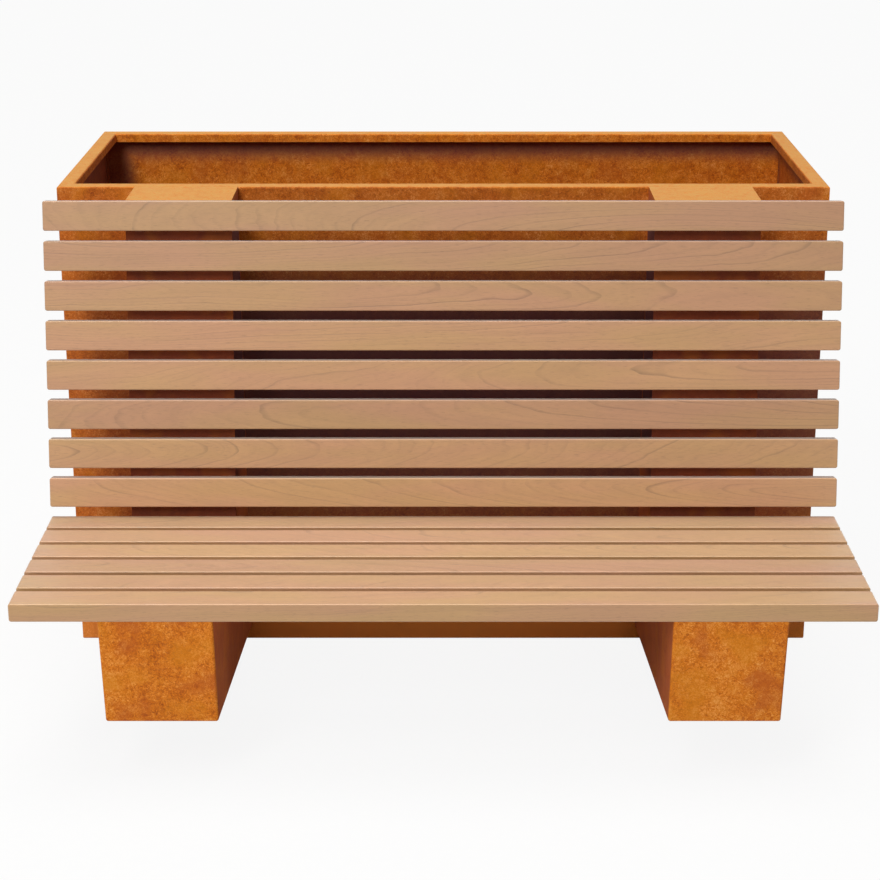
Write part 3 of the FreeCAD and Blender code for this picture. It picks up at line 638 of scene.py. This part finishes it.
def channel_welds(material):
    """Stitch welds along the channels inside the front and back walls."""
    beads = []
    for side in SIDES:
        for name, inwards in (("front_channel_" + side, 1), ("back_channel_" + side, -1)):
            low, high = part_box(name)
            wall = low.y if inwards > 0 else high.y
            pitch = (high.z - low.z - STITCH_LENGTH) / (STITCHES - 1)
            for x, outwards in ((low.x, -1), (high.x, 1)):
                for index in range(STITCHES):
                    foot = low.z + index * pitch
                    start = (x, wall, foot)
                    end = (x, wall, foot + STITCH_LENGTH)
                    beads.append((start, end, (outwards, 0, 0), (0, inwards, 0)))
    weld_piece("channel_welds", beads, STITCH_LEG, material)


def tie_welds(material):
    """Beads round both ends of the tie tubes."""
    beads = []
    for side in SIDES:
        low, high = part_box("tie_tube_" + side)
        for y, inwards in ((low.y, 1), (high.y, -1)):
            for x, outwards in ((low.x, -1), (high.x, 1)):
                beads.append(((x, y, low.z), (x, y, high.z), (outwards, 0, 0), (0, inwards, 0)))
            for z, upwards in ((low.z, -1), (high.z, 1)):
                beads.append(((low.x, y, z), (high.x, y, z), (0, 0, upwards), (0, inwards, 0)))
    weld_piece("tie_welds", beads, STITCH_LEG, material)


# Materials on the pieces

def of_slot(slot):
    """Names of the nodes that the record gives a material slot."""
    parts = frame["record"]["subparts"]
    return [part["node"] for part in parts if part["material_slot"] == slot]


def dress_slats():
    """Each slat is a board of its own, from its own part of a tree."""
    woods = {"seat_slat_%d" % number: wood for number, wood in enumerate(SEAT_WOOD, start=1)}
    woods |= {"back_slat_%d" % number: wood for number, wood in enumerate(BACK_TONE_AND_PAINTED_LIGHT, start=1)}
    for index, (name, (light, warmth)) in enumerate(woods.items()):
        dress(nodes[name], slat_wood(name, WOOD_SEED + index, light, warmth))


def dress_steel():
    """Bright speckled patina outside and on top, smoother and browner where rain seldom comes;
    painted shade on the columns' fronts, inside the planter and behind the back rest, and painted
    bounce light low on its front.
    """
    # Both wall materials: painted shade inside and behind the back rest, painted bounce light low on
    # the front
    walls = weathering_steel("steel_walls", RUST_SEED, WALL_RUST, hues=0.35, streak=0.25,
                             paint_light_and_shade=wall_painted_light_and_shade)
    back_wall = weathering_steel("steel_back_wall", RUST_SEED, OPEN_RUST, hues=0.35,
                                 streak=0.25, paint_light_and_shade=wall_painted_light_and_shade)
    bright = weathering_steel("steel_bright", RUST_SEED + 3, OPEN_RUST)
    sheltered = weathering_steel("steel_sheltered", RUST_SEED + 1, SIDE_RUST, grain=0.35)
    # Brackets' inner sides: painted shade behind the back rest
    inner_side = weathering_steel("steel_inner_side", RUST_SEED + 1, SIDE_RUST, grain=0.35,
                                  paint_light_and_shade=column_painted_shade)
    # Columns' fronts: rust darkened as painted shade
    brown = weathering_steel("steel_column_shade", RUST_SEED + 2, SHADED_COLUMN_RUST, grain=0.3)
    kinds = {"back_panel": back_wall, "panel": walls, "cap": walls, "arm_front": bright,
             "column_front": brown, "bracket_inner": inner_side}
    for name in of_slot("weathering_steel"):
        match = [steel for word, steel in kinds.items() if word in name]
        dress(nodes[name], match[0] if match else sheltered)


def dress_small_parts():
    """Screws, bolts, washers, nuts and drain bushes."""
    for slot, material in (("fasteners", stainless_steel()), ("bush_plastic", black_plastic())):
        for name in of_slot(slot):
            dress(nodes[name], material)


# Studio

# Camera of the photograph: on the bench's middle plane, looking down on it
CAMERA_DISTANCE = 4.6305
CAMERA_HEIGHT = 2.1466
CAMERA_PITCH = math.radians(18)
PICTURE_SIDE = 880
FOCAL_PIXELS = 2044.8
VIEW_POINT_RIGHT = 3.3
VIEW_POINT_UP = 40.0
SENSOR_WIDTH_MM = 36
FARTHEST_SEEN = 200

# Lamps and surroundings
SKY_STRENGTH = 0.1
SKY_COLOUR = (1.0, 0.99, 0.97, 1)
OVERHEAD_STRENGTH = 2.6
OVERHEAD_SPREAD = math.radians(40)
OVERHEAD_ELEVATION = math.radians(89)
KEY_AZIMUTH = math.radians(24)
KEY_ELEVATION = math.radians(43)
KEY_WATTS = 405
KEY_COLOUR = (1, 0.98, 0.95)
KEY_WIDTH = 1.9
KEY_TALL = 4.6
LAMP_DISTANCE = 8
LIT_POINT = Vector((0, 0, 0.6))

# Floor
FLOOR_HALF = 40
FLOOR_DROP = 0.5 * MM
FLOOR_GREYS = ((0.58, 0.58, 0.57, 1), (0.62, 0.62, 0.61, 1))
FLOOR_WHITENESS = 0.9
WHITE = (1, 1, 1, 1)


def camera():
    """Camera at the photograph's viewing angle."""
    data = bpy.data.cameras.new("camera")
    data.sensor_width = SENSOR_WIDTH_MM
    data.lens = data.sensor_width * FOCAL_PIXELS / PICTURE_SIDE
    data.shift_x = -VIEW_POINT_RIGHT / PICTURE_SIDE
    data.shift_y = -VIEW_POINT_UP / PICTURE_SIDE
    data.clip_end = FARTHEST_SEEN
    item = bpy.data.objects.new("camera", data)
    item.location = (0, -CAMERA_DISTANCE, CAMERA_HEIGHT)
    item.rotation_euler = (math.pi / 2 - CAMERA_PITCH, 0, 0)
    bpy.context.scene.collection.objects.link(item)
    bpy.context.scene.camera = item


def aim(data, azimuth, elevation):
    """Stands a lamp off the bench, facing it; azimuth 0 is the sitter's side, then to the left."""
    item = bpy.data.objects.new(data.name, data)
    towards = Vector((-math.sin(azimuth) * math.cos(elevation),
                      -math.cos(azimuth) * math.cos(elevation), math.sin(elevation)))
    item.location = LIT_POINT + towards * LAMP_DISTANCE
    item.rotation_euler = towards.to_track_quat("Z", "Y").to_euler()
    bpy.context.scene.collection.objects.link(item)


def key_light():
    """One tall soft box at the front left."""
    data = bpy.data.lights.new("key", "AREA")
    data.shape = "RECTANGLE"
    data.size = KEY_WIDTH
    data.size_y = KEY_TALL
    data.energy = KEY_WATTS
    data.color = KEY_COLOUR
    aim(data, KEY_AZIMUTH, KEY_ELEVATION)


def overhead_light():
    """Broad even light from above."""
    data = bpy.data.lights.new("overhead", "SUN")
    data.energy = OVERHEAD_STRENGTH
    data.angle = OVERHEAD_SPREAD
    aim(data, 0, OVERHEAD_ELEVATION)


def studio_floor():
    """Large pale floor that keeps a soft shadow of the bench."""
    mesh = bmesh.new()
    corners = [mesh.verts.new((x * FLOOR_HALF, y * FLOOR_HALF, -FLOOR_DROP))
               for x, y in ((-1, -1), (1, -1), (1, 1), (-1, 1))]
    mesh.faces.new(corners)
    floor = object_of(mesh, "studio_floor")
    shader = Shader("studio_floor")
    paper = shader.noise(shader.place(), 40, detail=3.0)
    colour = shader.ramp(paper, list(zip((0.3, 0.7), FLOOR_GREYS)))
    diffuse = shader.add("ShaderNodeBsdfDiffuse", [("Color", colour)])
    glow = shader.add("ShaderNodeEmission", [("Color", WHITE), ("Strength", 1.0)])
    seen = shader.add("ShaderNodeLightPath").outputs["Is Camera Ray"]
    share = shader.math("MULTIPLY", seen, FLOOR_WHITENESS)
    both = shader.add("ShaderNodeMixShader", [(0, share), (1, diffuse.outputs[0]),
                                              (2, glow.outputs[0])])
    shader.add("ShaderNodeOutputMaterial", [("Surface", both.outputs[0])])
    dress(floor, shader.material)


def studio_world():
    """Dim even surroundings; the camera, and gloss, see plain white."""
    world = bpy.data.worlds.new("studio")
    world.use_nodes = True
    bpy.context.scene.world = world
    tree = world.node_tree
    tree.nodes.clear()
    paths = tree.nodes.new("ShaderNodeLightPath")
    seen = paths.outputs["Is Camera Ray"]
    for name in ("Is Glossy Ray", "Is Transmission Ray"):
        either = tree.nodes.new("ShaderNodeMath")
        either.operation = "MAXIMUM"
        tree.links.new(seen, either.inputs[0])
        tree.links.new(paths.outputs[name], either.inputs[1])
        seen = either.outputs[0]
    light = tree.nodes.new("ShaderNodeBackground")
    light.inputs["Color"].default_value = SKY_COLOUR
    light.inputs["Strength"].default_value = SKY_STRENGTH
    white = tree.nodes.new("ShaderNodeBackground")
    white.inputs["Color"].default_value = WHITE
    both = tree.nodes.new("ShaderNodeMixShader")
    output = tree.nodes.new("ShaderNodeOutputWorld")
    tree.links.new(seen, both.inputs[0])
    tree.links.new(light.outputs[0], both.inputs[1])
    tree.links.new(white.outputs[0], both.inputs[2])
    tree.links.new(both.outputs[0], output.inputs[0])


def studio():
    """Floor, surroundings, lamps and camera."""
    studio_floor()
    studio_world()
    key_light()
    overhead_light()
    camera()
    bpy.context.scene.view_settings.view_transform = "Standard"


dress_slats()
dress_steel()
dress_small_parts()
bead_metal = weld_metal()
corner_welds(bead_metal)
channel_welds(bead_metal)
tie_welds(bead_metal)
studio()
